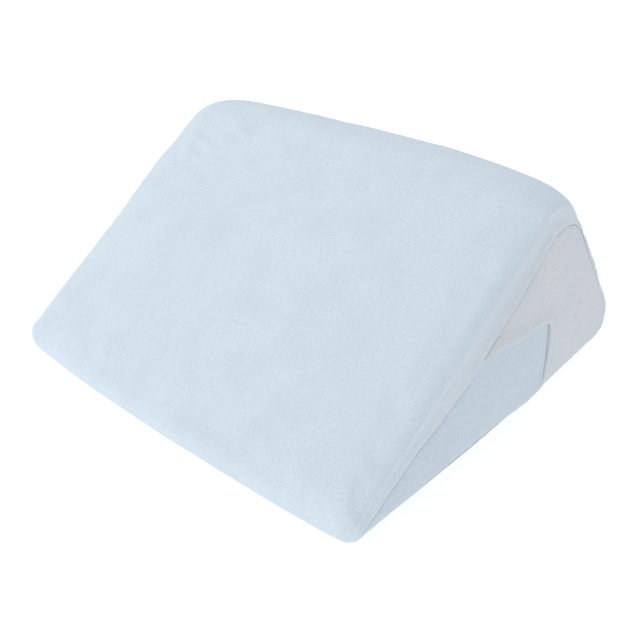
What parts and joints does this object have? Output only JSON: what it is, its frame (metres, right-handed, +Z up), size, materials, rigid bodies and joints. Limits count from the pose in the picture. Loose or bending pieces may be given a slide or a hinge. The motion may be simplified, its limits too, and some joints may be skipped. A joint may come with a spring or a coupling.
{
  "type": "wedge pillow",
  "caption": "Foam-filled wedge pillow in a pale blue terry cover, with soft rounded edges, a panel sewn into each end and a hemmed closure in the right end.",
  "frame": {"origin": "middle of the base, on the surface the pillow lies on", "axes": "+X along the ridge towards the end with the closure, +Y from the thin front edge to the heel, +Z up"},
  "size_m": [0.5188, 0.4866, 0.2532],
  "materials": {
    "wrap_terry": "soft looped terry, matt",
    "panel_terry": "soft looped terry, matt",
    "closure_terry": "soft looped terry, matt"
  },
  "bodies": {
    "root": {"filled_wedge": "wrap_terry", "side_panel_left": "panel_terry", "side_panel_right": "panel_terry", "closure_panel_right": "closure_terry"}
  },
  "joints": []
}
